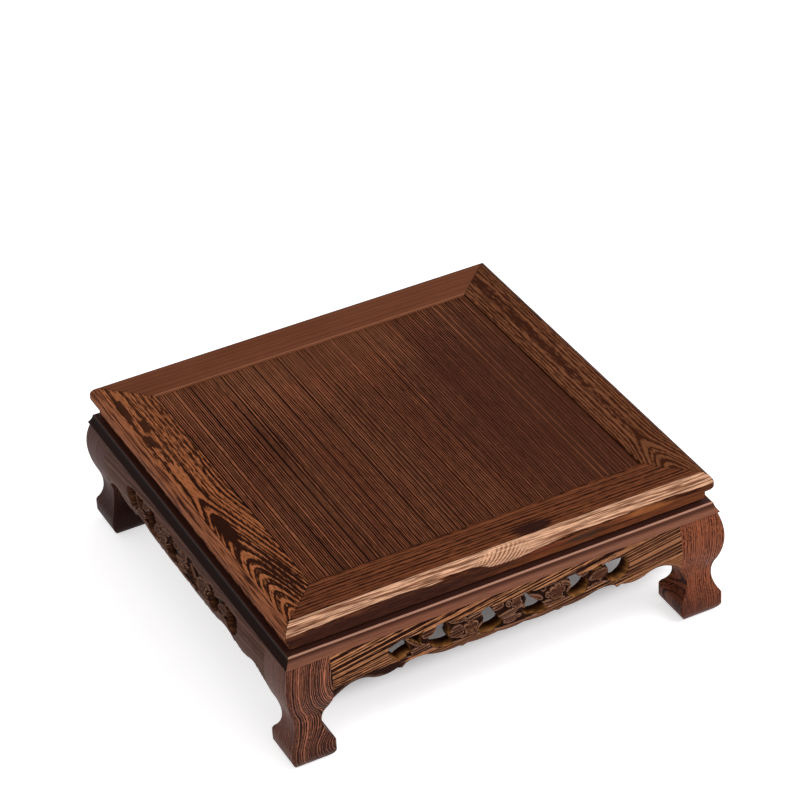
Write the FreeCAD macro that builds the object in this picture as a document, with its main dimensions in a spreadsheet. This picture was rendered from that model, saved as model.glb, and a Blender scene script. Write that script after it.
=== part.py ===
# Kang table: a small, square, waisted table on four cabriole legs.
# The origin is on the floor under the middle of the top, +Z is up, and the front is the -Y side.
# Every piece is drawn as it stands at the front or at the front left corner, and is then turned
# about the middle of the table by a quarter turn for each side. Lengths are in millimetres.
import FreeCAD, Part
import math
import os
import Sketcher

Vector = FreeCAD.Vector

# The driving sizes. "In" means inwards from the widest line of the nosing, "out" outwards from it.
SIZES = (
    # Frame of the top
    ("top_side", 300.0, "side of the square top over its nosing"),
    ("table_height", 107.6, "floor to the top of the frame"),
    ("top_thick", 19.8, "thickness of the frame rails"),
    ("rail_width", 33.3, "width of the frame rails"),
    ("arris_in", 5.0, "edge of the flat top, in"),
    ("nosing_depth", 14.8, "height of the rounded nosing"),
    ("fascia_in", 4.2, "flat strip under the nosing, in"),
    ("corner_round", 0.8, "plan radius at the corners of the nosing"),
    ("frame_tenon_thick", 5.0, "tenon of the frame corner, height"),
    ("frame_tenon_up", 8.4, "tenon of the frame corner, above the underside"),
    ("frame_tenon_in", 12.0, "tenon of the frame corner, in from its own nosing"),
    ("frame_tenon_wide", 10.0, "tenon of the frame corner, width"),
    ("frame_tenon_stop", 7.0, "end of that tenon, in from the nosing it points at"),
    # Panel
    ("panel_sink", 1.4, "panel below the top of the frame"),
    ("panel_thick", 8.0, "thickness of the panel"),
    ("panel_gap", 0.2, "gap round the panel, which lets it swell"),
    ("tongue_drop", 3.0, "tongue below the face of the panel"),
    ("tongue_thick", 3.0, "thickness of the tongue"),
    ("tongue_long", 4.6, "reach of the tongue past the edge of the panel"),
    ("groove_deep", 5.2, "depth of the groove for the tongue"),
    ("fit_gap", 0.15, "clearance between a tongue or tenon and its seat"),
    # Cross batten
    ("batten_wide", 18.0, "width of the batten"),
    ("batten_deep", 7.0, "batten below the panel"),
    ("dovetail_deep", 3.0, "depth of the dovetail in the panel"),
    ("dovetail_neck", 12.0, "width of the dovetail at the face of the panel"),
    ("dovetail_flare", 1.5, "growth of each side of the dovetail"),
    ("batten_tenon_wide", 10.0, "tenon at each end of the batten, width"),
    ("batten_tenon_thick", 4.0, "tenon at each end of the batten, height"),
    ("batten_tenon_long", 6.0, "tenon at each end of the batten, length"),
    # Waist and moulding
    ("waist_show", 2.1, "height of the waist between top and moulding"),
    ("waist_in", 7.0, "face of the waist, in"),
    ("waist_thick", 5.0, "thickness of the waist strips"),
    ("waist_tongue_thick", 2.4, "tongue on top of the waist strips, thickness"),
    ("waist_tongue_high", 3.0, "tongue on top of the waist strips, height"),
    ("moulding_thick", 7.5, "height of the moulding"),
    ("moulding_out", 2.5, "lip of the moulding, out"),
    ("lip_thick", 0.8, "upright edge of the lip"),
    ("arris_round", 0.8, "rounded inner edge of the slope"),
    ("slope_in", 0.9, "head of the slope, in"),
    ("slope_hollow", 0.45, "hollow of the slope"),
    # Bulging face shared by aprons and legs
    ("shoulder_out", 1.3, "head of the bulge, out"),
    ("bulge", 4.15, "swell of the bulge past a straight line"),
    ("bulge_high", 39.6, "height of the bulge"),
    # Legs
    ("leg_shoulder", 26.5, "side of the leg where an apron meets it, in"),
    ("seam_high", 34.0, "length of the seam of leg and apron"),
    ("calf_in", 24.0, "inner side of the leg at the foot of the bulge, in"),
    ("foot_centre", 11.1, "middle of the foot, in"),
    ("flare_side", 26.4, "side of the square where the ankle meets the foot"),
    ("flare_height", 17.5, "height of that square"),
    ("foot_side", 30.0, "side of the foot where it is widest"),
    ("foot_top", 13.5, "upper end of the widest stretch, above the floor"),
    ("foot_low", 6.5, "lower end of the widest stretch, above the floor"),
    ("foot_crown", 0.25, "swell of the widest stretch"),
    ("foot_shoulder", 0.25, "swell of the shoulder above it"),
    ("foot_round", 0.6, "swell of the rounded lower edge"),
    ("base_side", 22.0, "side of the square that rests on the floor"),
    ("foot_ease", 2.0, "plan radius that eases the corners of the foot"),
    ("leg_tenon_side", 4.5, "tenons on top of the legs, side"),
    ("leg_tenon_high", 6.0, "tenons on top of the legs, height"),
    ("leg_tenon_set", 0.8, "shoulder round the tenons on top of the legs"),
    # Aprons
    ("apron_high", 29.2, "apron from its top to the tips of its scallops"),
    ("apron_back", 5.5, "back of the apron, in"),
    ("scallop_rise", 4.6, "depth of the scallops"),
    ("rib_deep", 6.4, "plain rib above the pierced work"),
    ("band_deep", 4.2, "least depth of the plain band under the pierced work"),
    ("petal_swell", 0.5, "swell of a small petal at the rim of a pierced opening"),
    ("apron_tenon_thick", 4.0, "tenon at each end of the apron, thickness"),
    ("apron_tenon_high", 16.0, "tenon at each end of the apron, height"),
    ("apron_tenon_drop", 5.0, "tenon below the top of the apron"),
    ("apron_tenon_long", 6.0, "tenon at each end of the apron, length"),
    # Working allowance
    ("overrun", 5.0, "how far a cutting outline runs past the piece"),
)

# Right half of the scalloped edge, from the middle to the seam with the leg.
# Place along the half span, place up the scallops, and swell below the chord (above it if negative).
SCALLOP_SHARES = (
    (0.073, 0.30, 0.08),
    (0.251, 0.28, 0.24),
    (0.275, 0.00, 0.00),
    (0.300, 0.30, 0.00),
    (0.445, 0.65, 0.22),
    (0.595, 0.87, -0.37),
    (0.617, 0.17, 0.00),
    (0.644, 0.48, 0.00),
    (0.785, 0.48, 0.46),
    (0.931, 0.50, -0.57),
)
MIDDLE_LOBE_SHARE = 0.07
SEAM_SWELL_SHARE = 0.1

# Pierced openings between the carved blossoms, each anticlockwise from its lowest left corner.
# Place along the half span, place up the pierced work, and swell into the opening, in petal swells.
PIERCING_SHARES = (
    ((-0.635, 0.16, -0.6), (-0.562, 0.35, 1.0), (-0.591, 0.95, -1.0), (-0.687, 0.82, 0.5),
     (-0.687, 0.58, -0.5)),
    ((-0.512, 0.52, 0.0), (-0.489, 0.92, -1.0), (-0.575, 0.91, 0.0), (-0.539, 0.69, -1.0)),
    ((-0.436, 0.17, -1.0), (-0.330, 0.09, -2.0), (-0.350, 0.44, 1.0), (-0.348, 1.00, -1.5),
     (-0.411, 1.00, 0.0), (-0.457, 0.62, 1.0), (-0.462, 0.40, -1.0)),
    ((-0.177, 0.09, -0.5), (-0.060, 0.09, -2.0), (-0.042, 0.28, -1.0), (-0.109, 0.98, 1.5),
     (-0.138, 0.98, 0.0), (-0.160, 0.75, -0.5), (-0.151, 0.58, 0.5), (-0.193, 0.25, 1.0)),
    ((0.079, 0.15, -1.0), (0.164, 0.00, -2.0), (0.207, 0.14, -1.5), (0.107, 0.85, 2.0),
     (0.144, 0.99, 0.5), (0.076, 0.99, 0.0), (0.095, 0.72, 1.0), (0.070, 0.40, 1.0)),
    ((0.343, 0.19, -1.0), (0.424, 0.22, -3.5), (0.437, 0.71, -4.5), (0.394, 0.88, 1.0),
     (0.387, 1.00, 0.0), (0.332, 1.00, 0.0), (0.352, 0.72, 1.0), (0.327, 0.43, 1.0)),
    ((0.481, 0.83, 0.0), (0.538, 0.87, 0.5), (0.530, 1.00, 0.0), (0.483, 0.95, 0.0)),
    ((0.573, 0.25, -1.0), (0.622, 0.13, -1.0), (0.683, 0.55, -2.5), (0.670, 0.99, -1.0),
     (0.543, 1.00, 0.0), (0.564, 0.75, 1.0), (0.555, 0.49, 1.0)),
)

# Hollows of the ankle, outer and inner side, along the height from the foot to the bulge.
ANKLE_HOLLOW_SHARE = 0.109
CALF_HOLLOW_SHARE = 0.218

# Slope of the moulding: out and down along it, and the swell of the rounding above it.
SLOPE_SHARES = (0.6, 0.8, 0.211)

HALF_SHARE = 0.5
ROUND_SHARE = 1.0 - math.sqrt(HALF_SHARE)
QUARTER_TURN = 90.0
SIDES = ("front", "right", "back", "left")
CORNERS = ("front_left", "front_right", "back_right", "back_left")


class Size:
    """A length that knows its value and the expression that gives it from the sheet."""

    def __init__(self, value, text):
        self.value = value
        self.text = text

    def __add__(self, other):
        other = as_size(other)
        return Size(self.value + other.value, "(%s + %s)" % (self.text, other.text))

    def __sub__(self, other):
        other = as_size(other)
        return Size(self.value - other.value, "(%s - %s)" % (self.text, other.text))

    def __mul__(self, other):
        other = as_size(other)
        return Size(self.value * other.value, "(%s * %s)" % (self.text, other.text))

    def __truediv__(self, other):
        other = as_size(other)
        return Size(self.value / other.value, "(%s / %s)" % (self.text, other.text))

    def __neg__(self):
        return Size(-self.value, "(0 - %s)" % self.text)


def as_size(thing):
    if isinstance(thing, Size):
        return thing
    return Size(float(thing), repr(thing))


def make_sheet(doc):
    """Put the driving sizes in a sheet and hand them back by name."""
    sheet = doc.addObject("Spreadsheet::Sheet", "Sizes")
    sizes = {}
    for row, (name, value, note) in enumerate(SIZES, start=1):
        cell = "A%d" % row
        sheet.set(cell, str(value))
        sheet.setAlias(cell, name)
        sizes[name] = Size(value, "Sizes.%s" % name)
    doc.recompute()
    return sizes


doc = FreeCAD.newDocument("KangTable")
S = make_sheet(doc)

ZERO = as_size(0)
HALF = S["top_side"] * HALF_SHARE
TOP = S["table_height"]
UNDERSIDE = TOP - S["top_thick"]
PANEL_TOP = TOP - S["panel_sink"]
PANEL_LOW = PANEL_TOP - S["panel_thick"]
TONGUE_TOP = PANEL_TOP - S["tongue_drop"]
TONGUE_LOW = TONGUE_TOP - S["tongue_thick"]
MOULDING_TOP = UNDERSIDE - S["waist_show"]
APRON_TOP = MOULDING_TOP - S["moulding_thick"]
APRON_LOW = APRON_TOP - S["apron_high"]
KNEE = APRON_TOP - S["bulge_high"]
SEAM_LOW = APRON_TOP - S["seam_high"]
SPAN_HALF = HALF - S["leg_shoulder"]
WAIST_BACK = S["waist_in"] + S["waist_thick"]
POST_IN = WAIST_BACK + S["fit_gap"]
FRAME_TENON_LOW = UNDERSIDE + S["frame_tenon_up"]
BATTEN_LOW = PANEL_LOW - S["batten_deep"]
BATTEN_TENON_LOW = BATTEN_LOW + (S["batten_deep"] - S["batten_tenon_thick"]) * HALF_SHARE


def new_body(label, turns):
    """An empty body for one piece, turned about the middle of the table."""
    body = doc.addObject("PartDesign::Body", label)
    body.Label = label
    turn = FreeCAD.Rotation(Vector(0, 0, 1), turns * QUARTER_TURN)
    body.Placement = FreeCAD.Placement(Vector(0, 0, 0), turn)
    return body


def new_sketch(body, name, role, offset=None):
    """A sketch on one of the body's own planes, moved along that plane's normal."""
    sketch = body.newObject("Sketcher::SketchObject", name)
    plane = [item for item in body.Origin.OriginFeatures if item.Role == role][0]
    sketch.AttachmentSupport = [(plane, "")]
    sketch.MapMode = "FlatFace"
    if offset is not None:
        sketch.setExpression(".AttachmentOffset.Base.z", offset.text)
    return sketch


def edge_geometry(start, end, swell):
    """A straight edge, or an arc that swells to the left of its direction."""
    tail = Vector(start[0].value, start[1].value, 0)
    head = Vector(end[0].value, end[1].value, 0)
    if swell is None:
        return Part.LineSegment(tail, head), True
    along = head - tail
    left = Vector(-along.y, along.x, 0).normalize()
    crown = (tail + head) * HALF_SHARE + left * swell.value
    if swell.value > 0:
        return Part.Arc(head, crown, tail), False
    return Part.Arc(tail, crown, head), True


def arc_radius(start, end, swell):
    """Radius of the arc over a chord, from its swell."""
    if swell.value < 0:
        swell = -swell
    across = end[0] - start[0]
    up = end[1] - start[1]
    return (across * across + up * up) / (swell * 8) + swell / 2


def draw(sketch, corners):
    """Add a closed outline. Each corner is x, y and the swell of the edge that leads to it."""
    first = sketch.GeometryCount
    count = len(corners)
    shapes = []
    forward = []
    for index in range(count):
        start = corners[index]
        end = corners[(index + 1) % count]
        shape, along = edge_geometry(start, end, end[2])
        shapes.append(shape)
        forward.append(along)
    sketch.addGeometry(shapes, False)
    for index in range(count):
        start = corners[index]
        end = corners[(index + 1) % count]
        edge = first + index
        previous = first + (index - 1) % count
        tail = 1 if forward[index] else 2
        head = 2 if forward[index - 1] else 1
        sketch.addConstraint(Sketcher.Constraint("Coincident", previous, head, edge, tail))
        bind_place(sketch, "DistanceX", edge, tail, start[0])
        bind_place(sketch, "DistanceY", edge, tail, start[1])
        if end[2] is not None:
            radius = arc_radius(start, end, end[2])
            rule = sketch.addConstraint(Sketcher.Constraint("Radius", edge, radius.value))
            sketch.setExpression("Constraints[%d]" % rule, radius.text)


def bind_place(sketch, kind, edge, point, place):
    """Tie one coordinate of a corner to the sheet, or to the sketch's axis where it is zero."""
    if place is ZERO:
        axis = -2 if kind == "DistanceX" else -1
        sketch.addConstraint(Sketcher.Constraint("PointOnObject", edge, point, axis))
        return
    rule = sketch.addConstraint(Sketcher.Constraint(kind, -1, 1, edge, point, place.value))
    sketch.setExpression("Constraints[%d]" % rule, place.text)


def box_outline(left, right, low, high):
    return [(left, low, None), (right, low, None), (right, high, None), (left, high, None)]


def draw_at_both_ends(sketch, corners):
    """Draw an outline at the left end of a piece and mirrored at its right end."""
    draw(sketch, corners)
    mirrored = []
    count = len(corners)
    for index in range(count - 1, -1, -1):
        swell = corners[(index + 1) % count][2]
        mirrored.append((-corners[index][0], corners[index][1], swell))
    draw(sketch, mirrored)


def pad(body, name, sketch, length, symmetric=False, backwards=False):
    feature = body.newObject("PartDesign::Pad", name)
    feature.Profile = sketch
    feature.setExpression("Length", length.text)
    feature.SideType = "Symmetric" if symmetric else "One side"
    feature.Reversed = backwards
    doc.recompute()
    return feature


def pocket(body, name, sketch, depth=None, backwards=False):
    """Cut a sketch out of the body, through everything unless a depth is given."""
    before = body.Shape.Volume
    feature = body.newObject("PartDesign::Pocket", name)
    feature.Profile = sketch
    if depth is None:
        feature.Type = "ThroughAll"
        feature.SideType = "Symmetric"
    else:
        feature.setExpression("Length", depth.text)
        feature.Reversed = backwards
    doc.recompute()
    if body.Shape.Volume >= before:
        raise RuntimeError("%s of %s cuts nothing" % (name, body.Label))
    return feature


def from_nosing(distance):
    """Place on the front or left side that lies this far in from the nosing."""
    return distance - HALF


def mitre_ends(body, reach, rounding=None):
    """Cut both ends of a strip to 45 degrees, and round the tip of the corner if asked."""
    over = S["overrun"]
    sketch = new_sketch(body, "MitreLines", "XY_Plane")
    outer = from_nosing(-over)
    inner = from_nosing(reach + over)
    corners = [(inner, inner, None), (outer, inner, None), (outer, outer, None)]
    if rounding is not None:
        tip = from_nosing(rounding * ROUND_SHARE)
        side = from_nosing(rounding)
        swell = rounding * (1.0 - math.cos(math.radians(QUARTER_TURN / 4)))
        corners = corners + [(side, outer, None), (side, from_nosing(ZERO), None), (tip, tip, swell)]
    draw_at_both_ends(sketch, corners)
    pocket(body, "Mitres", sketch)


def leg_tenon_boxes(gap):
    """The two tenons on top of a leg, one for each rail of its corner, as edges from the nosing."""
    far_end = S["leg_shoulder"] - S["leg_tenon_set"]
    near_end = far_end - S["leg_tenon_side"]
    near = POST_IN + S["leg_tenon_set"]
    far = near + S["leg_tenon_side"]
    return (near_end - gap, far_end + gap, near - gap, far + gap)


def make_rail(side, turns):
    """One mitred rail of the frame. Front and back carry the tenons, left and right the mortises."""
    body = new_body("rail_" + side, turns)
    inner = from_nosing(S["rail_width"])
    groove = from_nosing(S["rail_width"] - S["groove_deep"])
    fascia = from_nosing(S["fascia_in"])
    gap = S["fit_gap"]
    slot_near = from_nosing(S["waist_in"] + (S["waist_thick"] - S["waist_tongue_thick"]) * HALF_SHARE - gap)
    slot_far = slot_near + S["waist_tongue_thick"] + gap * 2
    slot_top = UNDERSIDE + S["waist_tongue_high"] + gap
    section = new_sketch(body, "Section", "YZ_Plane")
    draw(section, [
        (from_nosing(S["arris_in"]), TOP, None),
        (fascia, TOP - S["nosing_depth"], -(S["arris_in"] + S["fascia_in"]) * HALF_SHARE),
        (fascia, UNDERSIDE, None),
        (slot_near, UNDERSIDE, None),
        (slot_near, slot_top, None),
        (slot_far, slot_top, None),
        (slot_far, UNDERSIDE, None),
        (inner, UNDERSIDE, None),
        (inner, TONGUE_LOW - gap, None),
        (groove, TONGUE_LOW - gap, None),
        (groove, TONGUE_TOP + gap, None),
        (inner, TONGUE_TOP + gap, None),
        (inner, TOP, None),
    ])
    pad(body, "Rail", section, S["top_side"], symmetric=True)
    mitre_ends(body, S["rail_width"], S["corner_round"])
    near_end, far_end, near, far = leg_tenon_boxes(gap)
    seats = new_sketch(body, "LegMortises", "XY_Plane", UNDERSIDE)
    outline = box_outline(from_nosing(near_end), from_nosing(far_end), from_nosing(near), from_nosing(far))
    draw_at_both_ends(seats, outline)
    pocket(body, "LegMortise", seats, S["leg_tenon_high"] + gap, backwards=True)
    if side in ("front", "back"):
        add_frame_tenons(body)
    else:
        cut_frame_mortises(body)
        cut_batten_mortise(body)


def add_frame_tenons(body):
    low = from_nosing(S["frame_tenon_in"])
    sketch = new_sketch(body, "TenonPlan", "XY_Plane", FRAME_TENON_LOW)
    outline = box_outline(
        from_nosing(S["frame_tenon_stop"]), from_nosing(S["rail_width"]),
        low, low + S["frame_tenon_wide"])
    draw_at_both_ends(sketch, outline)
    pad(body, "Tenons", sketch, S["frame_tenon_thick"])


def cut_frame_mortises(body):
    gap = S["fit_gap"]
    left = from_nosing(S["frame_tenon_in"] - gap)
    right = left + S["frame_tenon_wide"] + gap * 2
    sketch = new_sketch(body, "MortisePlan", "XY_Plane", FRAME_TENON_LOW - gap)
    outline = box_outline(
        left, right,
        from_nosing(S["frame_tenon_stop"] - gap), from_nosing(S["rail_width"] + S["overrun"]))
    draw_at_both_ends(sketch, outline)
    pocket(body, "Mortises", sketch, S["frame_tenon_thick"] + gap * 2, backwards=True)


def cut_batten_mortise(body):
    gap = S["fit_gap"]
    wide = S["batten_tenon_wide"] * HALF_SHARE + gap
    low = from_nosing(S["rail_width"] - S["batten_tenon_long"] - gap)
    sketch = new_sketch(body, "BattenMortisePlan", "XY_Plane", BATTEN_TENON_LOW - gap)
    draw(sketch, box_outline(-wide, wide, low, from_nosing(S["rail_width"] + S["overrun"])))
    pocket(body, "BattenMortise", sketch, S["batten_tenon_thick"] + gap * 2, backwards=True)


def dovetail_outline(grow, low):
    """Section of the batten's dovetail, wider at its top, from a given height up."""
    neck = S["dovetail_neck"] * HALF_SHARE + grow
    head = neck + S["dovetail_flare"]
    high = PANEL_LOW + S["dovetail_deep"] + grow
    return [(-neck, low, None), (neck, low, None), (neck, PANEL_LOW, None), (head, high, None),
            (-head, high, None), (-neck, PANEL_LOW, None)]


def make_panel():
    """The floating panel, with a tongue all round and a dovetail groove under it."""
    body = new_body("panel", 0)
    edge = HALF - S["rail_width"] - S["panel_gap"]
    tongue = edge + S["tongue_long"]
    plan = new_sketch(body, "PanelPlan", "XY_Plane", PANEL_LOW)
    draw(plan, box_outline(-edge, edge, -edge, edge))
    pad(body, "Board", plan, S["panel_thick"])
    rim = new_sketch(body, "TonguePlan", "XY_Plane", TONGUE_LOW)
    draw(rim, box_outline(-tongue, tongue, -tongue, tongue))
    pad(body, "Tongue", rim, S["tongue_thick"])
    groove = new_sketch(body, "DovetailSection", "YZ_Plane")
    draw(groove, dovetail_outline(S["fit_gap"], PANEL_LOW - S["overrun"]))
    pocket(body, "DovetailGroove", groove)


def make_batten():
    """The cross batten under the panel, from the left rail to the right rail."""
    body = new_body("batten", 0)
    reach = HALF - S["rail_width"] - S["panel_gap"]
    wide = S["batten_wide"] * HALF_SHARE
    neck = S["dovetail_neck"] * HALF_SHARE
    head = neck + S["dovetail_flare"]
    high = PANEL_LOW + S["dovetail_deep"]
    section = new_sketch(body, "Section", "YZ_Plane")
    draw(section, [
        (-wide, BATTEN_LOW, None), (wide, BATTEN_LOW, None), (wide, PANEL_LOW, None),
        (neck, PANEL_LOW, None), (head, high, None), (-head, high, None),
        (-neck, PANEL_LOW, None), (-wide, PANEL_LOW, None),
    ])
    pad(body, "Bar", section, reach * 2, symmetric=True)
    tenon = S["batten_tenon_wide"] * HALF_SHARE
    ends = new_sketch(body, "TenonSection", "YZ_Plane")
    draw(ends, box_outline(-tenon, tenon, BATTEN_TENON_LOW, BATTEN_TENON_LOW + S["batten_tenon_thick"]))
    pad(body, "Tenons", ends, (HALF - S["rail_width"] + S["batten_tenon_long"]) * 2, symmetric=True)


def make_waist(side, turns):
    """A waist strip, recessed under the top, with a tongue that enters the rail."""
    body = new_body("waist_" + side, turns)
    face = from_nosing(S["waist_in"])
    back = from_nosing(WAIST_BACK)
    near = face + (S["waist_thick"] - S["waist_tongue_thick"]) * HALF_SHARE
    far = near + S["waist_tongue_thick"]
    tip = UNDERSIDE + S["waist_tongue_high"]
    section = new_sketch(body, "Section", "YZ_Plane")
    draw(section, [
        (face, MOULDING_TOP, None), (back, MOULDING_TOP, None), (back, UNDERSIDE, None),
        (far, UNDERSIDE, None), (far, tip, None), (near, tip, None),
        (near, UNDERSIDE, None), (face, UNDERSIDE, None),
    ])
    pad(body, "Strip", section, S["top_side"], symmetric=True)
    mitre_ends(body, WAIST_BACK)


def make_moulding(side, turns):
    """A sloped, slightly hollow moulding with a thin lip, between waist and apron."""
    body = new_body("moulding_" + side, turns)
    lip = from_nosing(-S["moulding_out"])
    back = from_nosing(WAIST_BACK)
    head = from_nosing(S["slope_in"])
    turn = S["arris_round"]
    out_share, down_share, swell_share = SLOPE_SHARES
    section = new_sketch(body, "Section", "YZ_Plane")
    draw(section, [
        (lip, APRON_TOP, None),
        (back, APRON_TOP, None),
        (back, MOULDING_TOP, None),
        (head + turn, MOULDING_TOP, None),
        (head - turn * out_share, MOULDING_TOP - turn * down_share, -(turn * swell_share)),
        (lip, APRON_TOP + S["lip_thick"], S["slope_hollow"]),
    ])
    pad(body, "Strip", section, S["top_side"] + S["moulding_out"] * 2, symmetric=True)
    mitre_ends(body, WAIST_BACK)


def make_apron(side, turns):
    """A bulging apron with a scalloped lower edge, pierced between its blossoms."""
    body = new_body("apron_" + side, turns)
    back = from_nosing(S["apron_back"])
    section = new_sketch(body, "Section", "YZ_Plane")
    draw(section, [
        (from_nosing(-S["shoulder_out"]), APRON_TOP, None),
        (from_nosing(ZERO), KNEE, -S["bulge"]),
        (back, KNEE, None),
        (back, APRON_TOP, None),
    ])
    pad(body, "Board", section, SPAN_HALF * 2, symmetric=True)
    tenon_top = APRON_TOP - S["apron_tenon_drop"]
    ends = new_sketch(body, "TenonSection", "YZ_Plane")
    draw(ends, box_outline(
        from_nosing(ZERO), from_nosing(S["apron_tenon_thick"]),
        tenon_top - S["apron_tenon_high"], tenon_top))
    pad(body, "Tenons", ends, (SPAN_HALF + S["apron_tenon_long"]) * 2, symmetric=True)
    scallops = new_sketch(body, "ScallopLine", "XZ_Plane")
    draw(scallops, scallop_outline())
    pocket(body, "Scallops", scallops)
    openings = new_sketch(body, "Openings", "XZ_Plane")
    for shares in PIERCING_SHARES:
        draw(openings, piercing_outline(shares))
    pocket(body, "Piercing", openings)


def scallop_outline():
    """What is sawn away under the apron: the scalloped line from seam to seam, closed below."""
    rise = S["scallop_rise"]
    right = []
    for place, height, swell in SCALLOP_SHARES:
        amount = None if swell == 0 else -(rise * swell)
        right.append((SPAN_HALF * place, APRON_LOW + rise * height, amount))
    right.append((SPAN_HALF, SEAM_LOW, rise * SEAM_SWELL_SHARE))
    left = []
    follow = None
    for place, height, amount in reversed(right):
        left.append((-place, height, follow))
        follow = amount
    middle = (ZERO, APRON_LOW + rise * MIDDLE_LOBE_SHARE, follow)
    side = SPAN_HALF + S["overrun"]
    below = KNEE - S["overrun"]
    return left + [middle] + right + [
        (side, SEAM_LOW, None), (side, below, None), (-side, below, None), (-side, SEAM_LOW, None)]


def piercing_outline(shares):
    """One opening, bounded by the petals and leaves of the carved work beside it."""
    floor = APRON_LOW + S["band_deep"]
    high = APRON_TOP - S["rib_deep"] - floor
    corners = []
    for place, height, swell in shares:
        amount = None if swell == 0 else S["petal_swell"] * swell
        corners.append((SPAN_HALF * place, floor + high * height, amount))
    return corners


def leg_profile():
    """Side view of a leg, sawn alike from its two outer faces, from the base up its inner side."""
    middle = from_nosing(S["foot_centre"])
    base = S["base_side"] * HALF_SHARE
    foot = S["foot_side"] * HALF_SHARE
    flare = S["flare_side"] * HALF_SHARE
    inside = from_nosing(S["leg_shoulder"])
    ankle = KNEE - S["flare_height"]
    return [
        (middle - base, ZERO, -S["foot_round"]),
        (middle + base, ZERO, None),
        (middle + foot, S["foot_low"], -S["foot_round"]),
        (middle + foot, S["foot_top"], -S["foot_crown"]),
        (middle + flare, S["flare_height"], -S["foot_shoulder"]),
        (from_nosing(S["calf_in"]), KNEE, ankle * CALF_HOLLOW_SHARE),
        (inside, SEAM_LOW, None),
        (inside, APRON_TOP, None),
        (from_nosing(-S["shoulder_out"]), APRON_TOP, None),
        (from_nosing(ZERO), KNEE, -S["bulge"]),
        (middle - flare, S["flare_height"], ankle * ANKLE_HOLLOW_SHARE),
        (middle - foot, S["foot_top"], -S["foot_shoulder"]),
        (middle - foot, S["foot_low"], -S["foot_crown"]),
    ]


def make_leg(corner, turns):
    """A cabriole leg on a flared block foot, with a post and two tenons for the frame."""
    body = new_body("leg_" + corner, turns)
    over = S["overrun"]
    profile = leg_profile()
    centre = HALF - S["foot_centre"]
    front = new_sketch(body, "FrontView", "XZ_Plane", centre)
    draw(front, profile)
    pad(body, "Blank", front, S["foot_side"] + over * 4, symmetric=True)
    side = new_sketch(body, "SideView", "YZ_Plane", -centre)
    draw(side, profile)
    reach = S["foot_side"] * HALF_SHARE + over * 3
    low = from_nosing(S["foot_centre"]) - reach
    high = from_nosing(S["foot_centre"]) + reach
    draw(side, box_outline(low, high, -over, APRON_TOP + over))
    pocket(body, "SideSawing", side)
    ease_foot(body)
    post = new_sketch(body, "PostPlan", "XY_Plane", APRON_TOP)
    near = from_nosing(POST_IN)
    far = from_nosing(S["leg_shoulder"])
    draw(post, box_outline(near, far, near, far))
    pad(body, "Post", post, UNDERSIDE - APRON_TOP)
    near_end, far_end, near, far = [from_nosing(edge) for edge in leg_tenon_boxes(ZERO)]
    tenons = new_sketch(body, "TenonPlan", "XY_Plane", UNDERSIDE)
    draw(tenons, box_outline(near_end, far_end, near, far))
    draw(tenons, box_outline(near, far, near_end, far_end))
    pad(body, "Tenons", tenons, S["leg_tenon_high"])
    cut_apron_mortises(body)


def ease_foot(body):
    """Round the upright corners of the foot where it is widest."""
    middle = from_nosing(S["foot_centre"])
    reach = S["foot_side"] * HALF_SHARE + S["foot_crown"]
    ease = S["foot_ease"]
    low = middle - reach
    high = middle + reach
    swell = -(ease * ROUND_SHARE)
    plan = new_sketch(body, "FootPlan", "XY_Plane")
    draw(plan, [
        (low + ease, low, swell), (high - ease, low, None),
        (high, low + ease, swell), (high, high - ease, None),
        (high - ease, high, swell), (low + ease, high, None),
        (low, high - ease, swell), (low, low + ease, None),
    ])
    draw(plan, box_outline(low - S["overrun"], high + S["overrun"], low - S["overrun"], high + S["overrun"]))
    pocket(body, "EasedCorners", plan, S["flare_height"], backwards=True)


def cut_apron_mortises(body):
    """Blind mortises for the tenons of the two aprons that meet at a leg."""
    gap = S["fit_gap"]
    high = APRON_TOP - S["apron_tenon_drop"] + gap
    depth = S["apron_tenon_high"] + gap * 2
    near = from_nosing(-gap)
    far = from_nosing(S["apron_tenon_thick"] + gap)
    inside = from_nosing(S["leg_shoulder"] - S["apron_tenon_long"] - gap)
    outside = from_nosing(S["leg_shoulder"] + S["overrun"])
    plan = new_sketch(body, "MortisePlan", "XY_Plane", high)
    draw(plan, box_outline(inside, outside, near, far))
    draw(plan, box_outline(near, far, inside, outside))
    pocket(body, "Mortises", plan, depth)


def check_document():
    """Stop if any object failed to compute or a piece has no sound solid."""
    for item in doc.Objects:
        for word in ("Invalid", "Error"):
            if word in item.State:
                raise RuntimeError("%s is %s" % (item.Name, word))
    for body in doc.findObjects("PartDesign::Body"):
        shape = body.Shape
        if shape.isNull() or not shape.isValid() or len(shape.Solids) != 1:
            raise RuntimeError("%s has no sound solid" % body.Label)


def write_pieces():
    os.makedirs("parts", exist_ok=True)
    for body in doc.findObjects("PartDesign::Body"):
        body.Shape.exportStep(os.path.join("parts", body.Label + ".step"))
        print("%s %.0f mm3" % (body.Label, body.Shape.Volume))


for number, side_name in enumerate(SIDES):
    make_rail(side_name, number)
    make_waist(side_name, number)
    make_moulding(side_name, number)
    make_apron(side_name, number)
    make_leg(CORNERS[number], number)
make_panel()
make_batten()
doc.recompute()
check_document()
write_pieces()
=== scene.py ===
# Kang table in figured brown wood, dressed over its CAD solids. Blender's places are in metres in the
# CAD's own frame: +Z up, the front on the -Y side, the floor at z = 0. The sizes written here are in
# millimetres and angles in degrees, except where a comment says otherwise.
import bpy
import math
from mathutils import Euler, Matrix, Vector, geometry, kdtree


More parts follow.
